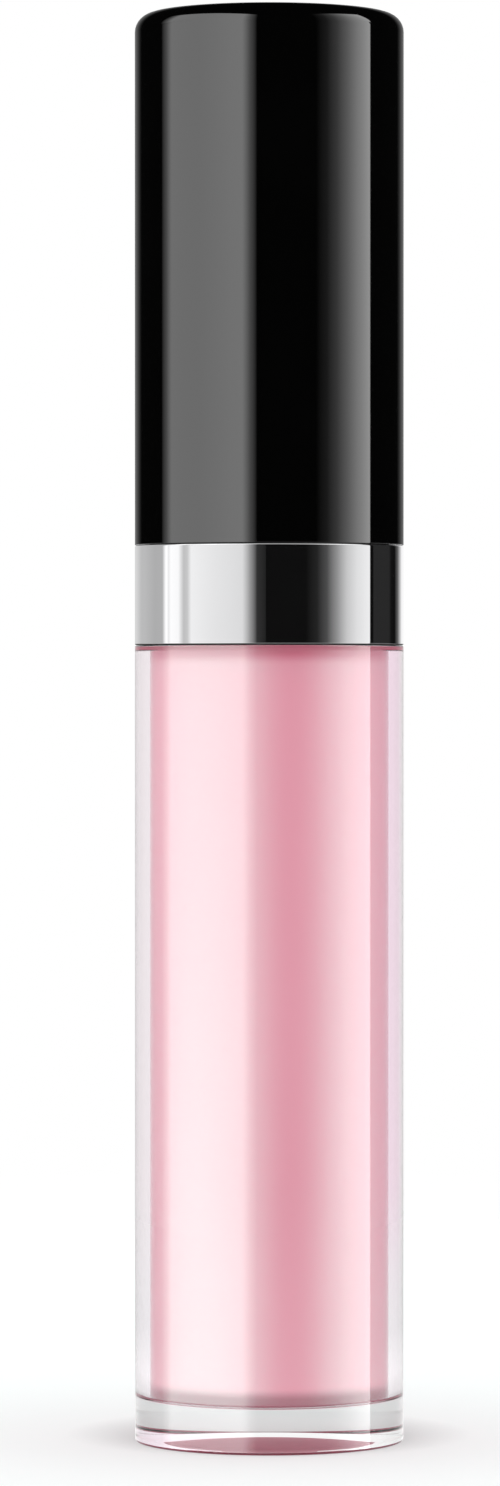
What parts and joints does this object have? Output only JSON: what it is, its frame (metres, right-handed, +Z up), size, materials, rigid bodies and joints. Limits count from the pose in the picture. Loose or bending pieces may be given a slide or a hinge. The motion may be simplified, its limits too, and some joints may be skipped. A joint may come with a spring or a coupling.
{
  "type": "lip gloss tube",
  "caption": "Slim round lip gloss tube: clear bottle of pink gloss with a thick foot, black screw cap with a bright collar, and a flocked wand that draws out through a wiper.",
  "frame": {"origin": "centre of the bottle's foot, on the turning axis", "axes": "+Z up through the cap along the turning axis; -Y faces the viewer and +X is the viewer's right"},
  "size_m": [0.019, 0.019, 0.1008],
  "materials": {
    "clear_wall": "clear polished",
    "pink_gloss": "milky pink gel",
    "soft_natural_plastic": "soft natural",
    "black_gloss_plastic": "black high gloss",
    "bright_chrome": "mirror bright",
    "black_liner_plastic": "black satin",
    "white_seal": "soft white",
    "black_rod_plastic": "black smooth",
    "soft_tip": "soft moulded",
    "pale_flock": "velvety short fibre"
  },
  "bodies": {
    "bottle": {"bottle": "clear_wall", "gloss_fill": "pink_gloss", "wiper": "soft_natural_plastic"},
    "seal": {"gasket": "white_seal"},
    "stem": {"rod": "black_rod_plastic"},
    "cap": {"outer_cap": "black_gloss_plastic", "collar_ring": "bright_chrome", "inner_cap": "black_liner_plastic", "applicator_core": "soft_tip", "applicator_flock": "pale_flock"}
  },
  "joints": [
    {"name": "wand_withdraw", "type": "slide", "parent": "bottle", "child": "seal", "axis": [0, 0, 1], "range_m": [0, 0.07]},
    {"name": "cap_rise", "type": "slide", "parent": "seal", "child": "stem", "axis": [0, 0, 1], "range_m": [0, 0.0042]},
    {"name": "cap_turn", "type": "hinge", "parent": "stem", "child": "cap", "pos_m": [0, 0, 0.0634], "axis": [0, 0, 1], "range_deg": [0, 540]}
  ],
  "couplings": [
    {"joint": "cap_rise", "follows": "cap_turn", "m_per_rad": 0.00044563}
  ]
}
